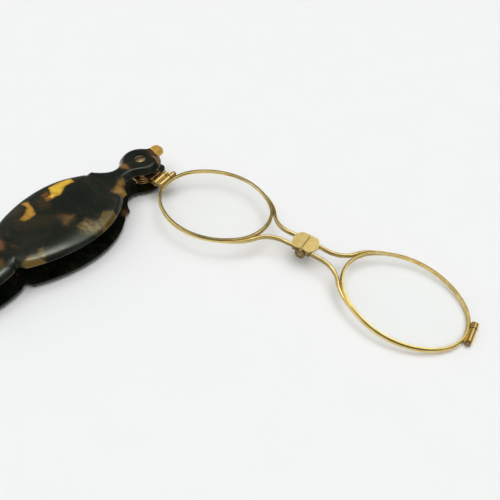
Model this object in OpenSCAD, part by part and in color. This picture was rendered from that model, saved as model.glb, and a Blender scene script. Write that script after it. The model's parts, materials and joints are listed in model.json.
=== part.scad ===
// Folding lorgnette. Two tortoiseshell plates form a handle with a slot between them. A wire
// frame with two oval lenses swings out of the slot on a pivot screw, and its outer half folds
// under its inner half at a hinge in the bridge. The model stands as it lies on a table, opened.
// Origin: underside of the back plate, on the pivot axis. +X along the handle to its tail, +Z up.
// The frame is drawn along its own +X, from the pivot outwards, and then turned by open_angle.

/* [Handle plates] */
// Thickness of each tortoiseshell plate
plate_t = 2; // [1.6:0.1:2.6]
// Clear height of the slot between the plates
slot_h = 7; // [6.8:0.1:8]
// Radius of the round head over the pivot
head_r = 6.9; // [6.7:0.1:8]
// Half width of the finial at the head end
finial_half = 2.5; // [2:0.1:3]
// Reach of the finial beyond the head circle
finial_reach = 3.4; // [2.6:0.1:4.5]
// Half width of the neck
neck_half = 3.1; // [2.8:0.1:3.6]
// Distance from the pivot to the ear tips
ear_x = 14.3; // [14:0.1:16]
// Half width across the ear tips
ear_half = 8.1; // [7.5:0.1:8.6]
// Half width of the oval body
body_half = 14.8; // [13.6:0.1:16]
// Distance from the pivot to the carved notch
notch_x = 54.5; // [52:0.5:57]
// Half width of the tail lobe
lobe_half = 8; // [7.8:0.1:9]
// Distance from the pivot to the tail tip
tail_x = 76; // [74:0.5:84]
// Width of the rounded outer edge of a plate
edge_w = 2.3; // [1:0.1:2.4]
// Height of the rounded outer edge of a plate
edge_h = 1.8; // [0.8:0.1:1.9]
// Radius of the ribbon hole through the tail
ribbon_r = 1.3; // [0.8:0.1:1.6]

/* [Lenses and rims] */
// Half length of a rim, to the middle of its wire
rim_a = 19; // [18.5:0.1:20]
// Radius of a rim's end arcs
rim_end_r = 13.4; // [12.8:0.1:13.8]
// Width of the rim wire
rim_w = 1; // [0.9:0.05:1.2]
// Height of the rim wire
rim_h = 1.5; // [1.3:0.05:1.6]
// Depth of the groove that holds the lens
groove_d = 0.25; // [0.2:0.05:0.35]
// Thickness of a lens at its edge
lens_edge_t = 0.7; // [0.6:0.05:0.9]
// Thickness of a lens in its middle
lens_mid_t = 1.4; // [1.2:0.05:1.5]

/* [Frame] */
// Angle from the handle to the frame, as it lies
open_angle = 94.4; // [60:0.1:115]
// Distance from the pivot to the middle of the inner lens
inner_x = 30.5; // [30:0.1:31.5]
// Distance from the middle of a lens to the bridge hinge
bridge_half = 32.7; // [32:0.1:33.5]
// Radius of a closing barrel
barrel_r = 1.1; // [0.9:0.05:1.15]
// Reach of a closing barrel towards the near side
barrel_near = 3.3; // [3:0.1:3.8]
// Reach of a closing barrel towards the far side
barrel_far = 4; // [3.6:0.1:4.4]
// Where the rim and its barrels are split
split_y = 1.7; // [1.4:0.1:2]
// Height of the barrels' axes above the rim's plane
barrel_rise = 0.25; // [0.2:0.05:0.35]
// Radius of a closing screw
closing_screw_r = 0.5; // [0.4:0.05:0.6]

/* [Bridge] */
// Distance of each bridge wire from the frame's centre line, at the hinge
wire_y = 2.12; // [2:0.01:2.2]
// Width of a bridge wire
wire_w = 1.1; // [1:0.05:1.2]
// Depth of the hinge axis below the rims' plane
hinge_drop = 1; // [1:0.05:1.2]
// Radius of the hinge knuckles
knuckle_r = 1.65; // [1.4:0.05:1.65]
// Radius of the hinge pin
hinge_pin_r = 0.6; // [0.5:0.05:0.7]
// Thickness of a hinge leaf
leaf_t = 0.6; // [0.5:0.05:0.7]
// Length of a hinge leaf from the hinge axis
leaf_len = 4.1; // [3.8:0.1:4.5]
// Reach of the leaves towards the near side
leaf_near = 2.8; // [2.75:0.05:3]
// Reach of the leaves towards the far side
leaf_far = 3.5; // [3.2:0.1:3.8]

/* [Pivot] */
// Radius of the pivot screw's head
screw_head_r = 2; // [1.8:0.1:2.2]
// Radius of the pivot screw's shank
screw_r = 1.15; // [1:0.05:1.25]
// Radius of the bush between the plates
bush_r = 1.8; // [1.6:0.05:1.9]
// Outer radius of the swivel eye
eye_r = 3.4; // [3.2:0.1:3.6]
// Thickness of the swivel eye
eye_t = 2.1; // [1.9:0.1:2.1]
// Thickness of the friction washer under the front plate
washer_t = 1.7; // [1.4:0.05:2]
// Thickness of the seat washer under the swivel eye
seat_t = 0.7; // [0.6:0.05:0.8]
// Thickness of the spring wire
spring_wire = 0.6; // [0.5:0.05:0.65]
// Radius of the spring, to the middle of its wire
spring_r = 2.9; // [2.7:0.05:3.1]
// Turns of the spring
spring_turns = 2.25; // [1.25:0.5:2.25]
// Radius of the stop pin
stop_r = 0.6; // [0.5:0.05:0.7]
// Widest angle from the handle to the frame
stop_angle = 120; // [118:1:125]

/* [Clearances] */
// Radial running clearance of a pin or a bush
run_gap = 0.05; // [0.03:0.01:0.08]
// Gap between a fixed piece and the hole that holds it
fit_gap = 0.02; // [0.01:0.01:0.04]
// Gap between pieces that pass each other
pass_gap = 0.1; // [0.08:0.01:0.15]

/* [Hidden] */
$fn = 96;
SHELL = [0.13, 0.13, 0.11];
BRASS = [0.80, 0.66, 0.32];
DULL = [0.42, 0.37, 0.30];
GLASS = [0.85, 0.90, 0.90, 0.45];

// Heights, stacked from the table up
slot_top = plate_t + slot_h;
total_h = slot_top + plate_t;
eye_top = slot_top - washer_t;
eye_bottom = eye_top - eye_t;
seat_bottom = eye_bottom - seat_t;
barrel_z = (eye_top + eye_bottom) / 2;
rim_z = barrel_z - barrel_rise;
hinge_z = rim_z - hinge_drop;

// Places along the frame
hinge_x = inner_x + bridge_half;
inner_barrel_x = inner_x - rim_a - barrel_r + 0.15;
arm_barrel_x = inner_barrel_x - 2 * barrel_r + 0.08;
arm_end_x = arm_barrel_x - barrel_r;
outer_barrel_u = bridge_half + rim_a + barrel_r + 0.1;
slit_w = 0.12;

// The outer half droops at the hinge until its barrel lies on the table
barrel_w = hinge_drop + barrel_rise;
droop = asin((hinge_z - barrel_r) / norm([outer_barrel_u, barrel_w])) + atan(barrel_w / outer_barrel_u);

// The rim's oval has four arcs: two at its ends, and two flanks tangent to them. The arcs' centres
// and the middle of the oval make triangles with sides of 20, 21 and 29 parts.
rim_end_x = rim_a - rim_end_r;
rim_flank_y = 1.05 * rim_end_x;
rim_flank_r = rim_end_r + 1.45 * rim_end_x;
rim_joint = [5 * rim_end_x, 4 * rim_flank_y];
rim_flat = 0.04;
rim_round_r = rim_h / 2 + rim_flat;

// The arm, the stop pin that it meets and the pegs of the spine
arm_half = 1.9;
stop_place_r = 5.2;
stop_at = stop_angle + asin((arm_half + stop_r + run_gap) / stop_place_r);
stop_depth = plate_t / 2;
peg_r = 0.7;
peg_depth = plate_t * 0.6;
peg_x = [59.5, 65];
spine_in = 4.5;
spine_from = notch_x + 2.5;
spine_to = tail_x - 6;

// The pivot screw, its nut and the spring's legs
head_seat = 0.8;
nut_t = 1.3;
nut_r = 2.4;
slot_turn = 160;
leg_depth = 0.8;
spring_low = plate_t + spring_wire / 2;
spring_high = seat_bottom - spring_wire / 2;
spring_bend = 0.35;
spring_end_turn = 360 * spring_turns;

// The hinge leaves, and the bridge wires that end at them
leaf_z = knuckle_r + pass_gap;
seam = 0.02;
knuckle_in = 1.5;
slab_len = 2.9;
wire_h = rim_h;
wire_off = (rim_w + wire_w) / 2;
wire_ring_r = rim_end_r + wire_off;
wire_stop_x = bridge_half - slab_len;

// A bridge wire leaves the rim's end arc for a bend of its own. The two arcs' centres make a
// triangle with sides of 8, 15 and 17 parts.
wire_bend_r = (8 * wire_ring_r - 17 * wire_y) / 9;
wire_bend_x = rim_end_x + 15 / 17 * (wire_ring_r + wire_bend_r);
wire_scarf = [[4, -15.5], [10.6, -14.75], [14, -30]];
inner_barrel_gap = inner_x - rim_a - inner_barrel_x;
outer_barrel_gap = outer_barrel_u - bridge_half - rim_a;

// Outlines and curves

function bez(a, b, c, d, n) = [for (i = [0:n - 1]) let (t = i / n)
    pow(1 - t, 3) * a + 3 * pow(1 - t, 2) * t * b + 3 * (1 - t) * t * t * c + t * t * t * d];
function arc(c, r, from, to, n) = [for (i = [0:n]) let (a = from + (to - from) * i / n)
    c + r * [cos(a), sin(a)]];

// One side of a plate's outline, from the finial's tip to the tail
finial_tip = -head_r - finial_reach;
finial_root = -sqrt(pow(head_r, 2) - pow(finial_half, 2));
neck_start = 46;
neck_p = head_r * [cos(neck_start), sin(neck_start)];
body_start = [ear_x + 1.9, ear_half + 0.1];
body_end = [notch_x - 1.1, 8.3];
notch_apex = [notch_x, 6.1];
lobe_start = [notch_x + 1.5, lobe_half - 0.8];
function half_outline() = concat(
    arc([finial_tip + finial_half, 0], finial_half, 180, 90, 5),
    arc([0, 0], head_r, 180 - asin(finial_half / head_r), neck_start, 14),
    [for (p = bez(neck_p, neck_p + 3.4 * [sin(neck_start), -cos(neck_start)],
        [ear_x - 2.9, 1.6 * neck_half - 3.1], [ear_x, ear_half], 9)) if (p[0] > neck_p[0] + 0.1) p],
    [[ear_x, ear_half]],
    bez(body_start, [ear_x + 18, 1.55 * body_half], [notch_x + 0.1, 8], body_end, 22),
    [body_end, notch_apex],
    bez(lobe_start, lobe_start + [6, 1.6], [tail_x - 1, lobe_half - 0.8], [tail_x, 0], 14),
    [[tail_x, 0]]);
function reversed(v) = [for (i = [len(v) - 1:-1:0]) v[i]];
function outline() = let (h = half_outline()) concat(reversed(h),
    [for (i = [1:len(h) - 2]) [h[i][0], -h[i][1]]]);

// The rounded edge is narrower at the finial, the ears and the notch than elsewhere
function edge_share(x) = min(1, 0.55 + 0.09 * min([for (c = [-head_r - 1, ear_x + 1, notch_x]) abs(x - c)]));

// Each point moved inwards by d along the mean of its two edges' normals
function inset(v, d, shared = false) = let (n = len(v)) [for (i = [0:n - 1])
    let (p = v[i], a = p - v[(i + n - 1) % n], b = v[(i + 1) % n] - p,
        na = [-a[1], a[0]] / norm(a), nb = [-b[1], b[0]] / norm(b), m = na + nb,
        k = (shared ? edge_share(p[0]) : 1) / max(0.62, 0.5 * norm(m)))
    p + d * k * m / norm(m)];

// A plate with a crisp inner edge at z = 0 and a rounded outer edge below z = plate_t. Its two
// faces are made of strips that run across, except beside the carved notch.
module plate_blank() {
    v = outline();
    n = len(v);
    tail = n / 2;
    steps = 4;
    rise = min(edge_h, plate_t - 0.1);
    layers = concat([[0, 0]], [for (i = [0:steps]) let (a = 90 * i / steps)
        [edge_w * (1 - cos(a)), plate_t - rise + rise * sin(a)]]);
    points = [for (l = layers) for (p = inset(v, l[0], true)) [p[0], p[1], l[1]]];
    sides = [for (k = [0:len(layers) - 2]) for (i = [0:n - 1]) let (j = (i + 1) % n)
        each [[k * n + i, (k + 1) * n + i, (k + 1) * n + j], [k * n + i, (k + 1) * n + j, k * n + j]]];
    far = function (i) tail - i;
    near = function (i) (tail + i) % n;
    apex = search(notch_apex[0], half_outline(), 1, 0)[0];
    strips = concat(
        [[near(0), near(1), far(1)], [near(tail - 1), near(tail), far(tail - 1)]],
        [for (i = [1:tail - 2]) if (i < apex - 2 || i >= apex) [near(i), near(i + 1), far(i + 1), far(i)]],
        [[near(apex - 2), near(apex), far(apex), far(apex - 2)],
            [far(apex - 2), far(apex), far(apex - 1)], [near(apex - 2), near(apex - 1), near(apex)]]);
    top = (len(layers) - 1) * n;
    polyhedron(points, concat(sides, strips, [for (s = strips) [for (q = reversed(s)) top + q]]));
}

// Handle

module stop_hole() rotate([0, 0, stop_at]) translate([stop_place_r, 0, 0]) children();
module at_pegs() for (x = peg_x) translate([x, -spine_in - 1.1, 0]) children();
module ribbon_hole() translate([tail_x - 3.6, 0, -1]) cylinder(r = ribbon_r, h = total_h + 2);

module front_plate() {
    color(SHELL) difference() {
        translate([0, 0, slot_top]) plate_blank();
        translate([0, 0, slot_top - 1]) cylinder(r = screw_r + fit_gap, h = plate_t + 2);
        translate([0, 0, total_h - head_seat]) cylinder(r = screw_head_r + pass_gap, h = 2);
        stop_hole() translate([0, 0, slot_top - 1]) cylinder(r = stop_r + fit_gap, h = 1 + stop_depth);
        at_pegs() translate([0, 0, slot_top - 1]) cylinder(r = peg_r + fit_gap, h = 1 + peg_depth);
        ribbon_hole();
    }
}

module back_plate() {
    color(SHELL) difference() {
        translate([0, 0, plate_t]) mirror([0, 0, 1]) plate_blank();
        translate([0, 0, plate_t - nut_t]) cylinder(r = nut_r + fit_gap, h = nut_t + 1);
        stop_hole() translate([0, 0, plate_t - stop_depth]) cylinder(r = stop_r + fit_gap, h = 3);
        at_pegs() translate([0, 0, plate_t - peg_depth]) cylinder(r = peg_r + fit_gap, h = 3);
        translate([spring_r, 0, plate_t - leg_depth]) cylinder(r = spring_wire / 2 + pass_gap, h = 3);
        ribbon_hole();
    }
}

// Strip of shell that joins the two plates along the far edge of the tail lobe
module spine_spacer() {
    v = inset(outline(), 0.6);
    color(SHELL) difference() {
        translate([0, 0, plate_t]) linear_extrude(height = slot_h) intersection() {
            polygon(v);
            translate([spine_from, -20]) square([spine_to - spine_from, 20 - spine_in]);
        }
        at_pegs() cylinder(r = peg_r + fit_gap, h = total_h);
    }
}

module spine_pegs() {
    color(BRASS) at_pegs() translate([0, 0, plate_t - peg_depth])
        cylinder(r = peg_r, h = slot_h + 2 * peg_depth);
}

module stop_pin() {
    color(BRASS) stop_hole() translate([0, 0, plate_t - stop_depth])
        cylinder(r = stop_r, h = slot_h + 2 * stop_depth);
}

// Pivot

module pivot_screw() {
    shank_bottom = plate_t - nut_t + 0.1;
    color(DULL) difference() {
        union() {
            translate([0, 0, shank_bottom]) cylinder(r = screw_r, h = total_h - head_seat - shank_bottom);
            intersection() {
                translate([0, 0, total_h - head_seat]) cylinder(r = screw_head_r, h = 2);
                translate([0, 0, total_h + 0.15 - 6]) sphere(r = 6);
            }
        }
        rotate([0, 0, slot_turn]) translate([-3, -0.2, total_h - 0.35]) cube([6, 0.4, 1]);
    }
}

module pivot_bush() {
    color(BRASS) translate([0, 0, plate_t]) difference() {
        cylinder(r = bush_r, h = slot_h);
        translate([0, 0, -1]) cylinder(r = screw_r + fit_gap, h = slot_h + 2);
    }
}

// Blind nut let into the inner face of the back plate
module pivot_nut() {
    color(BRASS) translate([0, 0, plate_t - nut_t]) difference() {
        cylinder(r = nut_r, h = nut_t);
        translate([0, 0, 0.1 - fit_gap]) cylinder(r = screw_r + fit_gap, h = nut_t + 1);
    }
}

module washer(outer_r, h) {
    difference() {
        cylinder(r = outer_r, h = h);
        translate([0, 0, -1]) cylinder(r = bush_r + run_gap, h = h + 2);
    }
}

module friction_washer() {
    color(DULL) translate([0, 0, eye_top]) washer(eye_r + 0.2, washer_t);
}

module seat_washer() {
    color(BRASS) translate([0, 0, seat_bottom]) difference() {
        washer(eye_r + 0.3, seat_t);
        rotate([0, 0, spring_end_turn]) translate([spring_r, 0, -1])
            cylinder(r = spring_wire / 2 + pass_gap, h = seat_t + 2);
    }
}

// The spring's wire runs on a cylinder, so its path is given by an angle and a height
function spring_path() = let (b = spring_bend, k = 180 / PI / spring_r, top = spring_end_turn,
        leg = spring_wire) concat(
    [for (z = [leg, 0]) [0, spring_low - b - z]],
    [for (a = [30, 60, 90]) [k * b * (1 - cos(a)), spring_low - b * (1 - sin(a))]],
    [for (i = [1:8 * spring_turns - 1]) let (t = i / (8 * spring_turns))
        [t * top, spring_low + t * (spring_high - spring_low)]],
    [for (a = [0, 30, 60]) [top - k * b * (1 - sin(a)), spring_high + b * (1 - cos(a))]],
    [for (z = [0, leg - 0.05]) [top, spring_high + b + z]]);
function on_spring(p) = [spring_r * cos(p[0]), spring_r * sin(p[0]), p[1]];
spring_gap = let (q = [for (p = spring_path()) on_spring(p)])
    min([for (i = [0:len(q) - 7]) for (j = [i + 6:len(q) - 1]) norm(q[j] - q[i])]) - spring_wire;
echo(spring_gap = spring_gap);

module swivel_spring() {
    path = spring_path();
    q = [for (p = path) on_spring(p)];
    n = len(q);
    sides = 6;
    points = [for (i = [0:n - 1])
        let (t = q[min(i + 1, n - 1)] - q[max(i - 1, 0)], out = [cos(path[i][0]), sin(path[i][0]), 0],
            side = cross(t, out) / norm(cross(t, out)))
        for (s = [0:sides - 1]) let (a = 360 * s / sides)
            q[i] + spring_wire / 2 * (cos(a) * out + sin(a) * side)];
    skin = [for (i = [0:n - 2]) for (s = [0:sides - 1]) let (u = (s + 1) % sides)
        each [[i * sides + s, i * sides + u, (i + 1) * sides + u],
            [i * sides + s, (i + 1) * sides + u, (i + 1) * sides + s]]];
    caps = [for (s = [1:sides - 2]) each [[0, s + 1, s],
        [(n - 1) * sides, (n - 1) * sides + s, (n - 1) * sides + s + 1]]];
    color(DULL) polyhedron(points, concat(skin, caps));
}

// Frame: everything below is drawn along the frame's own axes

module opened() rotate([0, 0, open_angle]) children();
// The inner half lies level. The outer half is drawn from the hinge axis outwards, level, with
// the hinge axis at the origin, and then droops about that axis.
module drooped() opened() translate([hinge_x, 0, hinge_z]) rotate([0, droop, 0]) children();

module barrel(x, from, to, r = barrel_r)
    translate([x, from, 0]) rotate([-90, 0, 0]) cylinder(r = r, h = to - from);

module swivel_arm() {
    color(BRASS) opened() difference() {
        union() {
            translate([0, 0, eye_bottom]) cylinder(r = eye_r, h = eye_t);
            translate([0, -arm_half, eye_bottom + 0.3]) cube([arm_end_x, 2 * arm_half, eye_t - 0.6]);
            translate([arm_end_x - 1, 0, barrel_z]) intersection() {
                barrel(0, -barrel_near + 0.2, arm_half, 1);
                translate([-2, -10, -2]) cube([3, 20, 4]);
            }
        }
        translate([0, 0, eye_bottom - 1]) cylinder(r = bush_r + run_gap, h = eye_t + 2);
    }
}

// Section of a rim's wire: flat towards the lens, round outside
module rim_section() intersection() {
    translate([rim_w / 2 + rim_flat - rim_round_r, 0]) circle(r = rim_round_r, $fn = 32);
    translate([-rim_w / 2, -rim_h / 2]) square([rim_w, rim_h]);
}

// The rim's oval, grown by d
module oval(d, h) translate([0, 0, -h / 2]) linear_extrude(height = h)
    for (s = [-1, 1]) {
        intersection() {
            translate([s * rim_end_x, 0]) circle(r = rim_end_r + d);
            polygon([[s * rim_end_x, 0], s * rim_joint, s * [rim_joint[0], -rim_joint[1]]]);
        }
        intersection() {
            translate([0, -s * rim_flank_y]) circle(r = rim_flank_r + d);
            polygon([[0, -s * rim_flank_y], s * rim_joint, s * [-rim_joint[0], rim_joint[1]]]);
        }
    }

module rim_loop() for (s = [0, 180]) rotate([0, 0, s]) {
    j = rim_joint;
    arc_part([rim_end_x, 0], rim_end_r, [[rim_end_x, 0], [j[0], -j[1]], j]) rim_section();
    arc_part([0, -rim_flank_y], rim_flank_r, [[0, -rim_flank_y], j, [-j[0], j[1]]]) rim_section();
}

// The part of a ring that lies inside a polygon
module arc_part(c, r, inside) intersection() {
    translate([c[0], c[1], 0]) rotate_extrude() translate([r, 0]) children();
    translate([0, 0, -rim_h]) linear_extrude(height = 2 * rim_h) polygon(inside);
}

// The closing end of the rim points to -X here
module rim(barrel_from_rim) {
    difference() {
        rim_loop();
        oval(groove_d - rim_w / 2, lens_edge_t + 2 * fit_gap);
        translate([-rim_a - barrel_from_rim, 0, barrel_rise]) barrel(0, -barrel_near, barrel_far, barrel_r);
        translate([-rim_a - 3, split_y, -3]) cube([5, slit_w, 6]);
    }
}

// A lens with two domed faces, and a thin flange round it that sits in the rim's groove
module lens() {
    edge = (lens_mid_t - lens_edge_t) / 2;
    steps = 8;
    oval(groove_d - rim_w / 2 - fit_gap, lens_edge_t);
    intersection() {
        oval(-rim_w / 2 - fit_gap, 2 * lens_mid_t);
        rotate_extrude() polygon(concat(
            [for (i = [0:steps]) let (u = i / steps) [u * rim_a, -lens_mid_t / 2 + edge * u * u]],
            [for (i = [steps:-1:0]) let (u = i / steps) [u * rim_a, lens_mid_t / 2 - edge * u * u]]));
    }
}

// Bridge wire for the side at +X of a lens, on the near side. It starts along the rim, leaves it
// at a tangent, and bends to run beside the centre line into the hinge.
module wire_section() intersection() {
    circle(r = norm([wire_w, wire_h]) / 2 * 0.9, $fn = 32);
    translate([-wire_w / 2, -wire_h / 2]) square([wire_w, wire_h]);
}

module bridge_wire() {
    flank = [0, rim_flank_y];
    end = [rim_end_x, 0];
    bend = [wire_bend_x, -wire_y - wire_bend_r];
    joint = end + 3 * (end - flank);
    arc_part(flank, rim_flank_r + wire_off, concat([flank], wire_scarf, [joint])) wire_section();
    arc_part(end, wire_ring_r, [end, joint, end + 1.5 * (bend - end)]) wire_section();
    arc_part(bend, wire_bend_r, [bend, [wire_bend_x, 3], end]) wire_section();
    translate([wire_bend_x, -wire_y, 0]) rotate([90, 0, 90])
        linear_extrude(height = wire_stop_x - wire_bend_x) wire_section();
}

// Hinge leaf drawn for the outer side: hinge axis at the origin, leaf towards +X
module knuckles(inner) {
    if (inner) {
        barrel(0, -leaf_near - 0.6, -knuckle_in - pass_gap / 2, knuckle_r);
        barrel(0, knuckle_in + pass_gap / 2, leaf_far, knuckle_r);
    } else {
        barrel(0, -knuckle_in + pass_gap / 2, knuckle_in - pass_gap / 2, knuckle_r);
    }
}

module knuckle_room(inner) {
    r = knuckle_r + pass_gap;
    if (inner) {
        barrel(0, -knuckle_in - pass_gap / 2, knuckle_in + pass_gap / 2, r);
    } else {
        barrel(0, -leaf_near - 2, -knuckle_in + pass_gap / 2, r);
        barrel(0, knuckle_in - pass_gap / 2, leaf_far + 2, r);
    }
}

module leaf(inner, tip) {
    n = -leaf_near;
    f = leaf_far;
    difference() {
        union() {
            translate([0, 0, leaf_z]) linear_extrude(height = leaf_t)
                polygon([[seam, n], [leaf_len - 1.6, n], [leaf_len - 0.3, n * 0.35 - tip],
                    [leaf_len, (n + f) / 2], [leaf_len - 0.3, f * 0.45 + tip], [leaf_len - 1.6, f], [seam, f]]);
            difference() {
                translate([seam, n, pass_gap]) cube([slab_len - seam, f - n, leaf_z - pass_gap]);
                knuckle_room(inner);
            }
            knuckles(inner);
        }
        barrel(0, -10, 10, hinge_pin_r + (inner ? fit_gap : run_gap));
    }
}

module hinge_pin() {
    color(DULL) opened() translate([hinge_x, 0, hinge_z])
        barrel(0, -leaf_near - 0.6, leaf_far, hinge_pin_r);
}

// Inner half of the frame
module inner_half() opened() translate([inner_x, 0, rim_z]) children();

module inner_rim() color(BRASS) inner_half() rim(inner_barrel_gap);
module inner_lens() color(GLASS) inner_half() lens();

module barrel_with_bore(x, from, to) difference() {
    barrel(x, from, to);
    barrel(x, from - 1, to + 1, closing_screw_r + fit_gap);
}

module inner_barrels_lower() color(BRASS) opened() translate([0, 0, barrel_z]) {
    difference() {
        union() {
            barrel(arm_barrel_x, -barrel_near, split_y);
            barrel(inner_barrel_x, -barrel_near, split_y);
            translate([arm_barrel_x, -barrel_near + 0.5, -0.5])
                cube([2 * barrel_r, split_y + barrel_near - 0.5, 1]);
        }
        barrel(inner_barrel_x, -barrel_near - 1, barrel_far + 1, closing_screw_r + fit_gap);
    }
}
module inner_barrels_upper() color(BRASS) opened() translate([0, 0, barrel_z]) {
    difference() {
        union() {
            barrel(arm_barrel_x, split_y + slit_w, barrel_far - 0.9);
            barrel(inner_barrel_x, split_y + slit_w, barrel_far);
            translate([arm_barrel_x, split_y + slit_w, -0.5]) cube([2 * barrel_r, 1.2, 1]);
        }
        barrel(inner_barrel_x, -barrel_near - 1, barrel_far + 1, closing_screw_r + fit_gap);
    }
}

module closing_screw(head_at_near) {
    barrel(0, -barrel_near, barrel_far, closing_screw_r);
    if (head_at_near) difference() {
        barrel(0, -barrel_near - 0.7, -barrel_near, 0.8);
        translate([-1, -barrel_near - 1, -0.12]) cube([2, 0.55, 0.24]);
    } else difference() {
        barrel(0, barrel_far, barrel_far + 0.7, 0.8);
        translate([-1, barrel_far + 0.45, -0.12]) cube([2, 0.55, 0.24]);
    }
}

module inner_closing_screw() color(DULL) opened() translate([inner_barrel_x, 0, barrel_z])
    closing_screw(false);
module inner_wire_near() color(BRASS) inner_half() bridge_wire();
module inner_wire_far() color(BRASS) inner_half() mirror([0, 1, 0]) bridge_wire();
module inner_hinge_leaf() color(BRASS) opened() translate([hinge_x, 0, hinge_z])
    mirror([1, 0, 0]) leaf(true, 0.35);

// Outer half of the frame
module outer_half() drooped() translate([bridge_half, 0, hinge_drop]) children();

module outer_hinge_leaf() color(BRASS) drooped() leaf(false, 0);
module outer_rim() color(BRASS) outer_half() mirror([1, 0, 0]) rim(outer_barrel_gap);
module outer_lens() color(GLASS) outer_half() lens();
module outer_wire_near() color(BRASS) outer_half() mirror([1, 0, 0]) bridge_wire();
module outer_wire_far() color(BRASS) outer_half() mirror([1, 0, 0]) mirror([0, 1, 0]) bridge_wire();
module at_outer_barrel() drooped() translate([outer_barrel_u, 0, barrel_w]) children();
module outer_barrel_lower() color(BRASS) at_outer_barrel() barrel_with_bore(0, -barrel_near, split_y);
module outer_barrel_upper() color(BRASS) at_outer_barrel()
    barrel_with_bore(0, split_y + slit_w, barrel_far);
module outer_closing_screw() color(DULL) at_outer_barrel() closing_screw(true);

front_plate();
back_plate();
spine_spacer();
spine_pegs();
stop_pin();
pivot_screw();
pivot_bush();
pivot_nut();
friction_washer();
seat_washer();
swivel_spring();
swivel_arm();
inner_rim();
inner_lens();
inner_barrels_lower();
inner_barrels_upper();
inner_closing_screw();
inner_wire_near();
inner_wire_far();
inner_hinge_leaf();
hinge_pin();
outer_hinge_leaf();
outer_rim();
outer_lens();
outer_wire_near();
outer_wire_far();
outer_barrel_lower();
outer_barrel_upper();
outer_closing_screw();
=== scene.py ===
"""Folding lorgnette: fine surfaces, materials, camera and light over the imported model."""
import math

import bmesh
import bpy
from mathutils import Matrix, Vector, geometry, kdtree
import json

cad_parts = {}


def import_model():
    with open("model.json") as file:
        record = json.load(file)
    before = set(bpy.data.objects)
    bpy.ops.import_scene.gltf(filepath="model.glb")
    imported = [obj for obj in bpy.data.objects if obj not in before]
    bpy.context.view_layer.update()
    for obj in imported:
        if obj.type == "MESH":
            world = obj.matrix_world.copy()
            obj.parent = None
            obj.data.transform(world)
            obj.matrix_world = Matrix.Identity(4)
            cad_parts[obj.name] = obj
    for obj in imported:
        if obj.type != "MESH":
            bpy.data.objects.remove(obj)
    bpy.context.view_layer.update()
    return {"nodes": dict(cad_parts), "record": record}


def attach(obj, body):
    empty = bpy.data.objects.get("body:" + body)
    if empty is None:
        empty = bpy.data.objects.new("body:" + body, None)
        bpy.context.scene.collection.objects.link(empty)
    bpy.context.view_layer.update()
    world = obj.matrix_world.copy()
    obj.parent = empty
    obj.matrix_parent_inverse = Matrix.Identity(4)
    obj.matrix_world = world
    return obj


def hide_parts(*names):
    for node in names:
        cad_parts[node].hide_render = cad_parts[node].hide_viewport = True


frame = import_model()
scene = bpy.context.scene

# Lengths are written in mm, and MM turns them into metres
MM = 0.001
# The wire frame's own axes: u runs from the pivot along the opened frame, v to its far side
OPEN = math.radians(94.4)
U = Vector((math.cos(OPEN), math.sin(OPEN), 0))
V = Vector((-math.sin(OPEN), math.cos(OPEN), 0))


def frame_dir(u, v, z):
    return U * u + V * v + Vector((0, 0, z))


def along(u, v, z):
    """A place on the opened frame, in metres."""
    return frame_dir(u, v, z) * MM


def add_object(name, data):
    obj = bpy.data.objects.new(name, data)
    scene.collection.objects.link(obj)
    return obj


def add_mesh(name, verts, faces):
    mesh = bpy.data.meshes.new(name)
    mesh.from_pydata(verts, [], faces)
    return add_object(name, mesh)


# Camera, at the photograph's angle
CAMERA_PLACE = (101.8, -105.54, 121.71)
CAMERA_VIEW = (-0.3253, 0.598, -0.7325)
CAMERA_UP = (-0.4096, 0.6091, 0.6792)
FOCAL_LENGTH, SENSOR_WIDTH = 38.109, 36


def aim_camera():
    data = bpy.data.cameras.new("camera")
    data.lens = FOCAL_LENGTH
    data.sensor_width = SENSOR_WIDTH
    data.clip_start, data.clip_end = 0.005, 10
    back = -frame_dir(*CAMERA_VIEW).normalized()
    right = frame_dir(*CAMERA_UP).cross(back).normalized()
    turn = Matrix((right, back.cross(right), back)).transposed()
    scene.camera = add_object("camera", data)
    scene.camera.matrix_world = Matrix.Translation(along(*CAMERA_PLACE)) @ turn.to_4x4()


aim_camera()

# Sockets of the principled shader that get one value all over a material
UNIFORM = {
    "metallic": "Metallic", "specular": "Specular IOR Level", "tint": "Specular Tint",
    "transmission": "Transmission Weight", "ior": "IOR",
}


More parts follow.
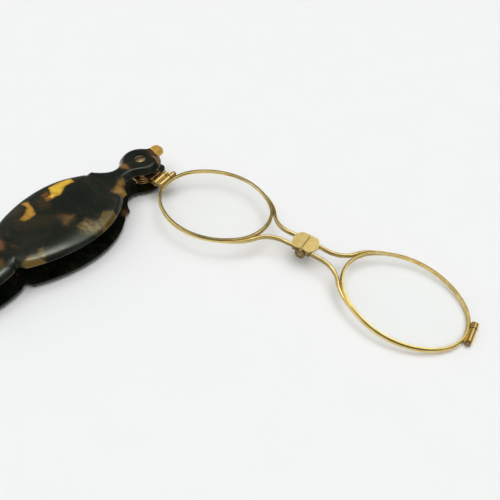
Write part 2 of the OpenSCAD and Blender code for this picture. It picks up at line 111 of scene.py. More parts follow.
class Graph:
    """The node tree of a material or a world, with short ways to add and link nodes."""

    def __init__(self, name, world=False):
        self.owner = bpy.data.worlds.new(name) if world else bpy.data.materials.new(name)
        self.owner.use_nodes = True
        self.tree = self.owner.node_tree
        self.tree.nodes.clear()
        self.output = self.add("ShaderNodeOutputWorld" if world else "ShaderNodeOutputMaterial")
        coordinates = self.add("ShaderNodeTexCoord").outputs
        self.object = coordinates["Generated" if world else "Object"]
        self.normal = coordinates["Normal"]

    def add(self, kind, inputs=None, **values):
        node = self.tree.nodes.new(kind)
        for key, value in values.items():
            setattr(node, key, value)
        for key, value in (inputs or {}).items():
            self.put(node.inputs[key], value)
        return node

    def put(self, socket, value):
        if isinstance(value, bpy.types.NodeSocket):
            self.tree.links.new(value, socket)
        else:
            socket.default_value = value

    def math(self, operation, *inputs):
        return self.add("ShaderNodeMath", dict(enumerate(inputs)), operation=operation).outputs[0]

    def plus(self, a, b):
        return self.math("ADD", a, b)

    def minus(self, a, b):
        return self.math("SUBTRACT", a, b)

    def times(self, a, b):
        return self.math("MULTIPLY", a, b)

    def vector(self, operation, *inputs, out=0):
        node = self.add("ShaderNodeVectorMath", dict(enumerate(inputs)), operation=operation)
        return node.outputs[out]

    def dot(self, a, direction):
        return self.vector("DOT_PRODUCT", a, tuple(direction), out="Value")

    def z_of(self, vector):
        return self.add("ShaderNodeSeparateXYZ", {0: vector}).outputs[2]

    def noise(self, scale, detail, rough, at=None, distortion=0.0, out="Fac"):
        """Noise with its scale in cells per metre."""
        return self.add("ShaderNodeTexNoise", {
            "Vector": at or self.object, "Scale": scale, "Detail": detail, "Roughness": rough,
            "Distortion": distortion}).outputs[out]

    def stretched(self, x, y, turn=0.0):
        """The object's coordinates turned about z and scaled, which draws noise out into streaks."""
        return self.add("ShaderNodeMapping", {
            "Vector": self.object, "Rotation": (0, 0, turn), "Scale": (x, y, 1)}).outputs[0]

    def ramp(self, value, stops):
        node = self.add("ShaderNodeValToRGB", {0: value})
        elements = node.color_ramp.elements
        elements[0].position, elements[1].position = stops[0][0], stops[-1][0]
        for place, _ in stops[1:-1]:
            elements.new(place)
        for element, (place, colour) in zip(elements, stops):
            element.position = place
            element.color = (*colour, 1)
        return node.outputs[0]

    def mix(self, factor, a, b):
        node = self.add("ShaderNodeMix", {0: factor}, data_type="RGBA")
        for socket, colour in ((6, a), (7, b)):
            is_linked = isinstance(colour, bpy.types.NodeSocket)
            self.put(node.inputs[socket], colour if is_linked else (*colour, 1))
        return node.outputs[2]

    def step(self, value, low, high, to=1.0):
        """A smooth rise from 0 where the value is low, to its full amount where it is high."""
        return self.add("ShaderNodeMapRange", {
            "Value": value, "From Min": low, "From Max": high, "To Max": to},
            interpolation_type="SMOOTHSTEP").outputs[0]

    def bump(self, height, strength, distance, normal=None):
        inputs = {"Height": height, "Strength": strength, "Distance": distance}
        if normal is not None:
            inputs["Normal"] = normal
        return self.add("ShaderNodeBump", inputs).outputs[0]

    def principled(self, colour, roughness, normal=None, **uniform):
        """A principled shader, with the uniform values on its own sockets."""
        inputs = {"Base Color": colour, "Roughness": roughness}
        if normal is not None:
            inputs["Normal"] = normal
        node = self.add("ShaderNodeBsdfPrincipled", inputs)
        for key, value in uniform.items():
            node.inputs[UNIFORM[key]].default_value = value
        return node.outputs[0]

    def finish(self, shader):
        self.tree.links.new(shader, self.output.inputs["Surface"])
        return self.owner


# Brass: the colour of its painted shade, the places where that shade is painted, and how deep its scratches
# are
PAINTED_SHADE_COLOUR = (0.13, 0.085, 0.045)
HINGE_U, LEAF_LOW, SLIT_V, SCREW_SLOT_LOW = 63.2, 6.72, 1.76, 10.70
SCRATCH_DEPTH = 0.008


def brass(name, light, middle, dark, tarnish, rough, relief=0.12, painted_shade=None):
    """Metal with patina in broad clouds, dark spots, fine scratches and, in places, painted shade."""
    g = Graph(name)
    cloud = g.noise(420, 4, 0.6)
    fine = g.noise(2600, 4, 0.6)
    colour = g.mix(g.step(cloud, 0.38, 0.64), middle, light)
    spots = g.times(g.step(fine, 0.56, 0.74), g.step(g.noise(480, 3, 0.6), 0.45, 0.70))
    colour = g.mix(g.times(spots, tarnish), colour, dark)
    scratch = g.noise(9000, 2, 0.6, at=g.stretched(1, 0.08, math.pi / 2 - OPEN))
    colour = g.mix(g.times(g.step(scratch, 0.62, 0.78), 0.2 * tarnish), colour, dark)
    # Painted shade: the colour darkens where the given mask says shade falls
    if painted_shade is not None:
        colour = g.mix(g.times(painted_shade(g), g.step(cloud, 0.2, 0.5)), colour, PAINTED_SHADE_COLOUR)
    roughness = g.plus(rough, g.times(g.minus(cloud, 0.5), 0.16))
    roughness = g.plus(roughness, g.times(spots, 0.15))
    height = g.plus(g.times(fine, 0.6), scratch)
    normal = g.bump(height, relief, SCRATCH_DEPTH * MM)
    return g.finish(g.principled(colour, roughness, normal, metallic=1.0))


def painted_side_shade(g):
    """Painted shade on upright sides, strongest near the bridge hinge."""
    upright = g.step(g.math("ABSOLUTE", g.z_of(g.normal)), 0.75, 0.25)
    reach = g.math("ABSOLUTE", g.minus(g.dot(g.object, U), HINGE_U * MM))
    return g.times(upright, g.plus(g.step(reach, 24 * MM, 5 * MM, 0.6), 0.15))


def painted_knuckle_shade(g):
    """Painted shade below the hinge leaves, where the knuckles are."""
    return g.step(g.z_of(g.object), LEAF_LOW * MM, (LEAF_LOW - 0.2) * MM, 0.9)


def painted_barrel_shade(g):
    """Painted shade in the slit across the barrels, and low between the inner ones."""
    across = g.math("ABSOLUTE", g.minus(g.dot(g.object, V), SLIT_V * MM))
    slit = g.step(across, 0.28 * MM, 0.10 * MM, 0.9)
    height = g.z_of(g.object)
    low = g.times(g.step(height, 6.95 * MM, 6.6 * MM, 0.75), g.step(height, 4 * MM, 5 * MM))
    return g.math("MAXIMUM", slit, low)


def painted_slot_shade(g):
    """Painted shade in the slot of the pivot screw's head, but not on the lower screws."""
    height = g.z_of(g.object)
    in_slot = g.step(height, (SCREW_SLOT_LOW + 0.08) * MM, SCREW_SLOT_LOW * MM)
    return g.times(in_slot, g.step(height, 9 * MM, 9.5 * MM))


GILT = brass("gilt_brass", (0.89, 0.71, 0.29), (0.77, 0.575, 0.20), (0.24, 0.13, 0.04),
    tarnish=0.35, rough=0.22, painted_shade=painted_side_shade)
BARREL = brass("barrel_brass", (0.93, 0.68, 0.26), (0.84, 0.58, 0.18), (0.22, 0.11, 0.03),
    tarnish=0.3, rough=0.28, painted_shade=painted_barrel_shade)
SATIN = brass("satin_gilt_brass", (0.95, 0.76, 0.32), (0.88, 0.67, 0.25), (0.40, 0.25, 0.09),
    tarnish=0.5, rough=0.56, relief=0.3, painted_shade=painted_knuckle_shade)
DULL = brass("tarnished_brass", (0.50, 0.34, 0.16), (0.30, 0.19, 0.08), (0.08, 0.05, 0.03),
    tarnish=0.8, rough=0.30, relief=0.3)
COIL = brass("spring_brass", (0.78, 0.53, 0.22), (0.60, 0.38, 0.14), (0.12, 0.07, 0.03),
    tarnish=0.5, rough=0.24)
# The swivel arm gets a darker copy of the brass: painted shade for its place between the handle's head and
# the barrels
SHADED_ARM = brass("shaded_arm_brass", (0.34, 0.19, 0.08), (0.19, 0.10, 0.04), (0.06, 0.03, 0.015),
    tarnish=0.8, rough=0.28, relief=0.3)
SCREW = brass("screw_brass", (0.38, 0.28, 0.165), (0.22, 0.15, 0.08), (0.08, 0.055, 0.035),
    tarnish=0.8, rough=0.34, relief=0.3, painted_shade=painted_slot_shade)


# Tortoiseshell: a near-black green-brown ground with translucent blots. A blot is a union of
# straight-sided shapes on the plate, then its inner colour, the colour of its rim, the depth of
# that rim, its strength and, where its side isn't crisp, the softness of the side.
YELLOW = (0.76, 0.50, 0.045)
GOLDEN = (0.48, 0.255, 0.03)
AMBER = (0.25, 0.135, 0.018)
BLOND = (0.60, 0.38, 0.075)
OLIVE = (0.094, 0.058, 0.007)
HAZEL = (0.115, 0.075, 0.024)
RUSSET = (0.16, 0.060, 0.014)
UMBER = (0.045, 0.022, 0.008)
SMOKE = (0.026, 0.023, 0.011)
DUST = (0.16, 0.15, 0.12)
CRISP = 0.15
FRONT_BLOTS = [
    ([[(46.1, -8.5), (42.9, -9.1), (39, -5.1), (36.5, 0.5), (39.4, 1.5), (43.1, -0.1), (46.1, -3.9)]],
        SMOKE, (0.018, 0.016, 0.008), 2.2, 0.6, 2.0),
    ([[(44, -11.3), (40.8, -12.8), (38.1, -12), (39.2, -9.3), (41.8, -7.8), (43.9, -8.8)],
        [(36, -9.5), (32.6, -10.4), (31.8, -7), (34, -4), (36.5, -5)]],
        (0.040, 0.027, 0.010), (0.022, 0.016, 0.007), 1.8, 0.75, 1.0),
    ([[(32.4, -10.7), (29.9, -11), (29.2, -8.9), (30.2, -8), (32.5, -8.7)]], RUSSET, UMBER, 0.9, 1),
    ([[(32.3, -8.9), (30, -8.2), (28.5, -6.3), (31.1, -7), (32.3, -6.5), (33.2, -7.1), (32.9, -8)]],
        AMBER, RUSSET, 0.8, 1),
    ([[(25.7, -11.7), (21.5, -10.2), (20.8, -9.2), (21.8, -7.6), (25.5, -7.7), (27.9, -9.7)],
        [(28.6, -11.5), (25.8, -11.6), (25.4, -7.6), (26.9, -6.3), (28.5, -6.3), (29.7, -8.4), (29.4, -10)],
        [(29.6, -8.8), (27.6, -6.4), (29, -6), (31.4, -6.7), (31.6, -8.2)]],
        YELLOW, (0.42, 0.205, 0.022), 1.0, 1),
    ([[(38.4, -12.4), (37.1, -12.2), (36.4, -10.3), (37.1, -8.3), (38.2, -8), (38.6, -10), (39, -11.2)],
        [(37.4, -10.3), (37.1, -8.3), (37.7, -6.1), (39.3, -4.5), (41, -4.2), (41.1, -6.9), (39.9, -8.5)],
        [(41.9, -7.4), (40, -7.8), (41, -4.2), (42.7, -4.8), (43, -6.3)]], GOLDEN, AMBER, 1.0, 1),
    ([[(34.5, 0.7), (31.4, 4.4), (33.2, 5.7), (35.5, 6), (36.4, 6.4), (37, 5.3), (36, 3)],
        [(36.2, -0.1), (34.3, 0.9), (35.8, 3.3), (35.9, 1.6)]], HAZEL, UMBER, 1.3, 0.95, 0.5),
    ([[(25.5, 9.5), (23.3, 11.3), (23.4, 13.2), (26, 14.1), (30.1, 14.4), (29.2, 11.3)]],
        OLIVE, HAZEL, 0.5, 1),
    ([[(29.6, 14), (25.7, 13.8), (26.5, 15.2), (29.7, 15.2)]], AMBER, RUSSET, 0.5, 0.8),
    ([[(10.5, 2.2), (10.8, 4.3), (13.3, 6.2), (15.1, 5.2), (14.4, 3.5), (11.7, 2.3)],
        [(14.4, 3.5), (13.3, 6.2), (14.6, 9.6), (17, 9.4), (17.2, 7.5), (18.1, 5.3), (17.5, 4.3)]],
        AMBER, (0.085, 0.05, 0.014), 1.4, 1),
    ([[(5.2, -4.2), (4.7, -1.9), (5.5, 1.6), (6.5, 1.9), (8.0, -0.7), (8.1, -2.6)]],
        (0.20, 0.11, 0.035), (0.07, 0.033, 0.010), 1.1, 1, 0.3),
    ([[(-4.7, -1.2), (-5.5, 0.7), (-4.7, 4.8), (-3.6, 6.2), (-4.2, 2.2), (-3.8, 0.2)]],
        (0.085, 0.032, 0.008), UMBER, 0.7, 1),
    ([[(-3.7, 1.4), (-4.2, 2.2), (-3.4, 6), (-2.8, 6.9), (-2.6, 6.2), (-2.9, 3.1)]],
        (0.36, 0.17, 0.05), RUSSET, 0.5, 1),
    ([[(-6.1, -2.6), (-8.3, -2.6), (-10.6, -0.8), (-10.4, 1.7), (-7.4, 2.9), (-5.8, 2.8), (-5.6, 0.7)]],
        (0.46, 0.25, 0.035), BLOND, 1.1, 1),
    ([[(53.4, 7.3), (51.1, 6.5), (49.5, 7.5), (48.6, 11.5), (49.9, 11.4), (53.3, 9.4)],
        [(49.2, 8.5), (47.2, 7), (46.1, 7.6), (47.2, 9.7), (48.4, 10.2)]],
        (0.125, 0.075, 0.014), HAZEL, 0.9, 1, 0.5),
    ([[(51.5, -4.8), (51.4, -3.2), (52, -1.1), (53.3, 0.1), (55.5, -0.8), (55, -4)]],
        (0.15, 0.065, 0.022), UMBER, 1.0, 1),
    ([[(51.2, -0.5), (50.6, 1), (50.8, 2.5), (51.6, 1.2)]], (0.07, 0.035, 0.014), UMBER, 0.8, 0.9),
    ([[(56.4, 1.7), (55.9, 2.6), (56.6, 4.7), (57.3, 4.9), (59.4, 4.2), (58.8, 2.2)]],
        OLIVE, UMBER, 0.8, 1),
    ([[(62, -5.5), (60.2, -2.6), (62.4, -0.8), (66.5, -1.9), (66, -4.6)],
        [(66.5, -1.9), (65.4, -4.4), (69, -5.4), (70, -3.2)]], GOLDEN, RUSSET, 1.1, 1),
    ([[(64, 3), (67.6, 2.2), (70, 4.2), (66, 6)]], HAZEL, UMBER, 1.2, 0.9),
    ([[(73.6, -2.4), (73.2, 2.2), (77, 2.6), (77, -2.6)]], BLOND, AMBER, 1.0, 1),
]
BACK_BLOTS = [
    ([[(16.3, 5.3), (14.1, 6.3), (15.2, 9.4), (17.1, 9.2), (17.6, 7.2)]], (0.10, 0.07, 0.02), UMBER, 1.0, 1),
    ([[(51.5, 10), (46.8, 12), (46.3, 14.4), (48.9, 13.5), (51, 12)]], (0.15, 0.085, 0.03), RUSSET, 1.2, 1),
    ([[(54.2, 0.7), (52.9, 1.6), (53.1, 2.8), (54.7, 2.9)]], RUSSET, UMBER, 0.6, 0.6),
    ([[(20, -9), (26, -12), (31, -9), (29, -4), (22, -3)], [(29, -4), (33, -7), (36, -3), (31, 0)]],
        GOLDEN, AMBER, 1.4, 1),
    ([[(39, -2), (44, -4), (47, 0), (43, 4), (38, 3)]], AMBER, RUSSET, 1.6, 1),
    ([[(-4, -4), (1, -5), (3, -2), (-2, 0)]], AMBER, RUSSET, 1.0, 1),
    ([[(60, -3), (66, -4), (69, 1), (63, 3)]], HAZEL, UMBER, 1.2, 1),
    ([[(20, 1), (26, 0), (28, 3), (23, 5)]], HAZEL, UMBER, 1.4, 0.9),
]
# A worn patch: its shapes, the turn of its threads in degrees, and its colour
FRONT_WORN = [
    ([[(33.8, 8.4), (31.1, 8.3), (29.3, 12.1), (29.9, 14.6), (33.7, 13.6), (35.4, 10.9)]],
        38, (0.30, 0.213, 0.088)),
]


def hull(points):
    """The corners of the points' convex outline, anticlockwise."""
    def half(ordered):
        chain = []
        for p in ordered:
            while len(chain) > 1 and ((chain[-1][0] - chain[-2][0]) * (p[1] - chain[-2][1])
                    - (chain[-1][1] - chain[-2][1]) * (p[0] - chain[-2][0])) <= 0:
                chain.pop()
            chain.append(p)
        return chain[:-1]
    ordered = sorted(points)
    return half(ordered) + half(ordered[::-1])


def blot_distance(g, place, shapes):
    """The distance to a union of shapes, in mm, below 0 inside. The place's third number is 1."""
    nearest = None
    for shape in shapes:
        corners = hull(shape)
        outside = None
        for (ax, ay), (bx, by) in zip(corners, corners[1:] + corners[:1]):
            size = math.hypot(bx - ax, by - ay)
            nx, ny = (by - ay) / size, (ax - bx) / size
            side = g.dot(place, (nx, ny, -(nx * ax + ny * ay)))
            outside = side if outside is None else g.math("SMOOTH_MAX", outside, side, 0.7)
        nearest = outside if nearest is None else g.math("SMOOTH_MIN", nearest, outside, 1.0)
    return nearest


def warped_place(g):
    """The place on the plate in mm, moved about by noise, with 1 as its third number."""
    place = g.vector("MULTIPLY", g.object, (1 / MM, 1 / MM, 0))
    for scale, detail, rough, reach in ((330, 2, 0.5, 2.0), (1500, 3, 0.6, 0.55)):
        drift = g.vector("SUBTRACT", g.noise(scale, detail, rough, out="Color"), (0.5, 0.5, 0.5))
        place = g.vector("ADD", place, g.vector("MULTIPLY", drift, (reach, reach, 0)))
    return g.vector("ADD", place, (0, 0, 1))


def dark_ground(g):
    """Near-black with green and brown clouds."""
    mottle = g.noise(95, 4, 0.55, distortion=0.6)
    colour = g.ramp(mottle, [
        (0.30, (0.0010, 0.0013, 0.0006)), (0.45, (0.0024, 0.0044, 0.0020)),
        (0.60, (0.0060, 0.0086, 0.0040)), (0.78, (0.0160, 0.0130, 0.0050))])
    wisps = g.noise(240, 5, 0.62, at=g.stretched(1.0, 0.55), distortion=1.2)
    colour = g.mix(g.step(wisps, 0.50, 0.78, 0.8), colour, (0.026, 0.022, 0.011))
    bloom = g.noise(130, 6, 0.68, at=g.stretched(0.7, 1.0, 0.7), distortion=0.8)
    return g.mix(g.step(bloom, 0.50, 0.72, 0.6), colour, (0.020, 0.025, 0.018))


def shell(name, blots, worn, gloss):
    g = Graph(name)
    place = warped_place(g)
    colour = dark_ground(g)
    cloud = g.noise(700, 3, 0.55)
    ragged = g.times(g.minus(cloud, 0.5), 0.5)
    for shapes, core, rim, depth, strength, *soft in blots:
        half = soft[0] if soft else CRISP
        distance = g.plus(blot_distance(g, place, shapes), ragged)
        inner = g.mix(g.step(distance, 0.0, -depth), rim, core)
        inner = g.mix(g.step(cloud, 0.35, 0.75, 0.30), inner, rim)
        colour = g.mix(g.step(distance, 0.9, 0.1, 0.35 * strength), colour, UMBER)
        colour = g.mix(g.step(distance, half * 0.8, -half * 1.2, strength), colour, inner)
    for shapes, turn, tint in worn:
        distance = blot_distance(g, place, shapes)
        threads = g.noise(1100, 4, 0.58, at=g.stretched(1.0, 0.4, math.radians(turn)))
        haze = g.times(g.step(distance, 1.4, -2.2), g.step(threads, 0.22, 0.68))
        colour = g.mix(g.times(haze, 0.85), colour, tint)
    dust = g.step(g.noise(5200, 2, 0.5), 0.735, 0.78, 0.5)
    colour = g.mix(g.times(dust, 0.25), colour, DUST)

    roughness = g.plus(0.17, g.times(g.noise(420, 4, 0.6), 0.14))
    roughness = g.plus(roughness, g.times(dust, 0.2))
    ripple = g.bump(g.noise(170, 2, 0.5), 0.5, 0.12 * MM)
    scratch = g.noise(6000, 2, 0.5, at=g.stretched(0.12, 1.0, 0.5))
    normal = g.bump(scratch, 0.25, 0.012 * MM, ripple)
    return g.finish(g.principled(colour, roughness, normal, specular=gloss, tint=(0.93, 1.0, 0.82, 1)))


def lens_glass():
    """Quiet glass that lets lamp light and floor light straight through."""
    g = Graph("lens_glass")
    colour = g.mix(g.noise(120, 4, 0.6), (0.998, 1.0, 0.998), (0.990, 0.996, 0.990))
    smears = g.step(g.noise(900, 4, 0.6), 0.45, 0.85, 0.06)
    glass = g.principled(colour, smears, transmission=1.0, ior=1.18)
    clear = g.add("ShaderNodeBsdfTransparent", {"Color": (0.995, 0.998, 0.995, 1)}).outputs[0]
    path = g.add("ShaderNodeLightPath").outputs
    passing = g.math("MAXIMUM", path["Is Shadow Ray"], path["Is Diffuse Ray"])
    return g.finish(g.add("ShaderNodeMixShader", {0: passing, 1: glass, 2: clear}).outputs[0])


SHELL_FRONT = shell("tortoiseshell_front", FRONT_BLOTS, FRONT_WORN, 0.5)
SHELL_BACK = shell("tortoiseshell_back", BACK_BLOTS, [], 0.35)
LENS = lens_glass()
MATERIALS = {
    "shell": SHELL_BACK, "gilt": GILT, "dull_brass": DULL, "screw": SCREW, "spring": DULL, "lens": LENS,
}
SPECIAL = {
    "inner_hinge_leaf": SATIN, "outer_hinge_leaf": SATIN, "swivel_arm": SHADED_ARM,
    "inner_barrels_lower": BARREL, "inner_barrels_upper": BARREL,
    "outer_barrel_lower": BARREL, "outer_barrel_upper": BARREL,
}
# Width of the small bevels on carried-over pieces
BEVELS = {
    "friction_washer": 0.45, "seat_washer": 0.25, "swivel_arm": 0.4, "inner_hinge_leaf": 0.13,
    "outer_hinge_leaf": 0.13, "inner_barrels_lower": 0.12, "inner_barrels_upper": 0.12,
    "outer_barrel_lower": 0.12, "outer_barrel_upper": 0.12, "inner_closing_screw": 0.08,
    "outer_closing_screw": 0.08, "hinge_pin": 0.1, "pivot_screw": 0.06,
}


def dress(obj, material):
    obj.data.materials.clear()
    obj.data.materials.append(material)


def smooth(obj, angle):
    """Smooth shading, with sharp edges from the angle on, in degrees."""
    mesh = obj.data
    if "custom_normal" in mesh.attributes:
        mesh.attributes.remove(mesh.attributes["custom_normal"])
    mesh.polygons.foreach_set("use_smooth", [True] * len(mesh.polygons))
    mesh.set_sharp_from_angle(angle=math.radians(angle))


def bevel(obj, width):
    modifier = obj.modifiers.new("edge", "BEVEL")
    modifier.width = width * MM
    modifier.segments = 3
    modifier.limit_method = "ANGLE"
    modifier.angle_limit = math.radians(40)
    modifier.use_clamp_overlap = True


slots = {part["node"]: part["material_slot"] for part in frame["record"]["subparts"]}
for name, obj in frame["nodes"].items():
    dress(obj, SPECIAL.get(name) or MATERIALS[slots[name]])
    smooth(obj, 60 if "rim" in name or "wire" in name else 32)
    if name in BEVELS:
        bevel(obj, BEVELS[name])


# Front plate: the source's outline, with a crowned face that rolls off to the edge
HEAD_R, FINIAL_HALF, FINIAL_REACH, NECK_HALF, NECK_START = 6.9, 2.5, 3.4, 3.1, 46
EAR_X, EAR_HALF, BODY_HALF, NOTCH_X, NOTCH_HALF, LOBE_HALF, TAIL_X = 14.3, 8.1, 14.8, 54.5, 6.1, 8, 76
PLATE_LOW, PLATE_TOP, LOW_CHAMFER = 9.0, 11.0, 0.1
# Pitch of the outline's points, of the ones that distances are measured to, and of the face's
EDGE_PITCH, DENSE_PITCH, FACE_PITCH = 0.32, 0.06, 0.55
# How far inside the edge its rows of points are, from where on a row has half as many points, and
# from where on the face has its own pattern
ROWS, HALVED_FROM, FACE_FROM = (0.1, 0.25, 0.45, 0.75, 1.1, 1.5, 2.0, 2.6), 0.9, 2.85
# Sides of the seat, the ribbon hole and the pits, and how near a point may stand to one of them
SEAT_SIDES, HOLE_SIDES, PIT_SIDES, HOLE_MARGIN = 40, 32, 20, 0.15
# Along the plate: x, width and fall of the crown's roll-off, width and fall of the edge's bevel
ROLL = [
    (-11, 1.6, 0.4, 1.0, 0.8), (-7.2, 1.8, 0.5, 1.3, 1.1), (-4, 2.9, 0.4, 1.7, 1.45),
    (4, 2.9, 0.4, 1.7, 1.45), (10, 2.7, 0.4, 1.6, 1.45), (13.5, 2.6, 0.5, 1.2, 1.1),
    (21, 5.0, 0.95, 1.0, 0.85), (34, 7.4, 1.15, 1.1, 0.75), (47, 5.8, 1.1, 1.0, 0.8),
    (54.5, 3.2, 0.8, 1.0, 0.9), (61, 4.8, 1.0, 1.0, 0.85), (77, 4.6, 1.0, 1.0, 0.85),
]
# Carved grooves, on both sides of the plate's middle: from, to, depth, half width
GROOVES = [((15.5, 9.2), (18.4, 5.0), 0.55, 0.8), ((54.6, 6.6), (53.7, 4.0), 0.35, 0.8)]
# Seat of the pivot screw's head: x, y, radius, radius of the hole, level
SEAT = (0, 0, 2.1, 1.17, 10.2)
RIBBON_HOLE = (TAIL_X - 3.6, 0, 1.3)
# Pits in the lower face, for the stop pin and the spacer's pegs: x, y, radius, depth
ARM_HALF, STOP_R, RUN_GAP, STOP_PLACE_R = 1.9, 0.6, 0.05, 5.2
STOP_AT = math.radians(120 + math.degrees(math.asin((ARM_HALF + STOP_R + RUN_GAP) / STOP_PLACE_R)))
PITS = [
    (STOP_PLACE_R * math.cos(STOP_AT), STOP_PLACE_R * math.sin(STOP_AT), 0.62, 1.0),
    (59.5, -5.6, 0.72, 1.2), (65, -5.6, 0.72, 1.2),
]


def bez(a, b, c, d, n):
    """Points on a Bezier curve, without its last one."""
    result = []
    for i in range(n):
        t = i / n
        w = ((1 - t) ** 3, 3 * t * (1 - t) ** 2, 3 * t * t * (1 - t), t ** 3)
        result.append(tuple(sum(k * p[j] for k, p in zip(w, (a, b, c, d))) for j in (0, 1)))
    return result


def arc(x, r, start, end, n):
    angles = [math.radians(start + (end - start) * i / n) for i in range(n + 1)]
    return [(x + r * math.cos(a), r * math.sin(a)) for a in angles]


def circle(x, y, r, n):
    return [(x + r * math.cos(math.tau * i / n), y + r * math.sin(math.tau * i / n)) for i in range(n)]


def half_outline():
    """One half of the plate's outline, from the finial's tip to the tail, as in the source."""
    a = math.radians(NECK_START)
    neck = (HEAD_R * math.cos(a), HEAD_R * math.sin(a))
    body = (EAR_X + 1.9, EAR_HALF + 0.1)
    end = (NOTCH_X - 1.1, 8.3)
    lobe = (NOTCH_X + 1.5, LOBE_HALF - 0.8)
    return (arc(FINIAL_HALF - HEAD_R - FINIAL_REACH, FINIAL_HALF, 180, 90, 10)
        + arc(0, HEAD_R, 180 - math.degrees(math.asin(FINIAL_HALF / HEAD_R)), NECK_START, 30)
        + bez(neck, (neck[0] + 3.4 * math.sin(a), neck[1] - 3.4 * math.cos(a)),
            (EAR_X - 2.9, 1.6 * NECK_HALF - 3.1), (EAR_X, EAR_HALF), 24)[1:]
        + [(EAR_X, EAR_HALF)]
        + bez(body, (EAR_X + 18, 1.55 * BODY_HALF), (NOTCH_X + 0.1, 8), end, 80)
        + [end, (NOTCH_X, NOTCH_HALF)]
        + bez(lobe, (lobe[0] + 6, lobe[1] + 1.6), (TAIL_X - 1, LOBE_HALF - 0.8), (TAIL_X, 0), 50)
        + [(TAIL_X, 0)])


def resampled(loop, pitch):
    """A closed loop's points at an even pitch."""
    result = []
    left = 0.0
    for a, b in zip(loop, loop[1:] + loop[:1]):
        size = math.dist(a, b)
        at = left
        while at < size:
            t = at / size
            result.append((a[0] + (b[0] - a[0]) * t, a[1] + (b[1] - a[1]) * t))
            at += pitch
        left = at - size
    return result


def eased(loop, times):
    """A closed loop with its corners rounded a little, so many times."""
    for _ in range(times):
        loop = [tuple((p[j] + 2 * q[j] + r[j]) / 4 for j in (0, 1))
            for p, q, r in zip(loop[-1:] + loop[:-1], loop, loop[1:] + loop[:1])]
    return loop


def within(x, y, loop):
    inside = False
    for i, (ax, ay) in enumerate(loop):
        bx, by = loop[i - 1]
        if (ay > y) != (by > y) and x < ax + (y - ay) * (bx - ax) / (by - ay):
            inside = not inside
    return inside


def plate_edge():
    """The plate's outline, anticlockwise."""
    upper = half_outline()
    lower = [(x, -y) for x, y in upper[1:-1]]
    edge = eased(resampled(lower + upper[::-1], EDGE_PITCH), 2)
    area_twice = sum(a[0] * b[1] - a[1] * b[0] for a, b in zip(edge, edge[1:] + edge[:1]))
    return edge if area_twice >= 0 else edge[::-1]


def distance_to(edge):
    """A function for the distance from a point to the edge."""
    dense = resampled(edge, DENSE_PITCH)
    tree = kdtree.KDTree(len(dense))
    for i, (x, y) in enumerate(dense):
        tree.insert((x, y, 0), i)
    tree.balance()
    return lambda x, y: tree.find((x, y, 0))[2]


def roll(x):
    for (xa, *a), (xb, *b) in zip(ROLL, ROLL[1:]):
        if x <= xb:
            t = max(0.0, (x - xa) / (xb - xa))
            t = t * t * (3 - 2 * t)
            return [p + (q - p) * t for p, q in zip(a, b)]
    return ROLL[-1][1:]


def carved(x, y):
    """How deep the grooves are at a point."""
    depth = 0.0
    for (ax, ay), (bx, by), deep, half in GROOVES:
        dx, dy = bx - ax, by - ay
        t = ((x - ax) * dx + (abs(y) - ay) * dy) / (dx * dx + dy * dy)
        s = abs((x - ax) * dy - (abs(y) - ay) * dx) / math.hypot(dx, dy)
        if -0.3 < t < 1 and s < half:
            depth = max(depth, deep * (1 - max(t, 0)) ** 0.6 * (1 - s / half) ** 2)
    return depth


def crown_height(x, y, depth):
    width, fall, edge_width, edge_fall = roll(x)
    s = max(0.0, 1 - depth / width)
    r = max(0.0, 1 - depth / edge_width)
    return max(PLATE_LOW + LOW_CHAMFER, PLATE_TOP - fall * s * s - edge_fall * r ** 1.4 - carved(x, y))


def face_points(edge, depth):
    """Points inside the edge: rows along it, then an even pattern of triangles."""
    points = []
    count = len(edge)
    for inward in ROWS:
        for i, (x, y) in enumerate(edge):
            before, after = edge[i - 1], edge[(i + 1) % count]
            tx, ty = after[0] - before[0], after[1] - before[1]
            size = math.hypot(tx, ty)
            px, py = x - ty / size * inward, y + tx / size * inward
            # A point that comes too near to another part of the edge is left out
            if depth(px, py) > inward * 0.93 and (inward < HALVED_FROM or i % 2 == 0):
                points.append((px, py))
    row, y = 0, -BODY_HALF
    while y < BODY_HALF:
        x = -HEAD_R - FINIAL_REACH + (FACE_PITCH / 2 if row % 2 else 0)
        while x < TAIL_X:
            if depth(x, y) > FACE_FROM and within(x, y, edge):
                points.append((x, y))
            x += FACE_PITCH
        y += FACE_PITCH * 0.866
        row += 1
    return points


def sheet(edge, points, circles):
    """Triangles that fill the edge apart from the circles: their points, faces, and the loops."""
    loops, verts = [], []
    for loop in [edge] + [circle(*c) for c in circles]:
        loops.append([len(verts) + i for i in range(len(loop))])
        verts += loop
    sides = [pair for loop in loops for pair in zip(loop, loop[1:] + loop[:1])]
    verts += [p for p in points if all(math.dist(p, c[:2]) > c[2] + HOLE_MARGIN for c in circles)]
    out, _, faces, origin, _, _ = geometry.delaunay_2d_cdt([Vector(p) for p in verts], sides, [], 1, 1e-6)

    def in_hole(face):
        x, y = (sum(out[i][axis] for i in face) / 3 for axis in (0, 1))
        return any(math.dist((x, y), c[:2]) < c[2] and within(x, y, circle(*c)) for c in circles)

    where = {source: i for i, sources in enumerate(origin) for source in sources}
    faces = [face for face in faces if not in_hole(face)]
    return out, faces, [[where[i] for i in loop] for loop in loops]


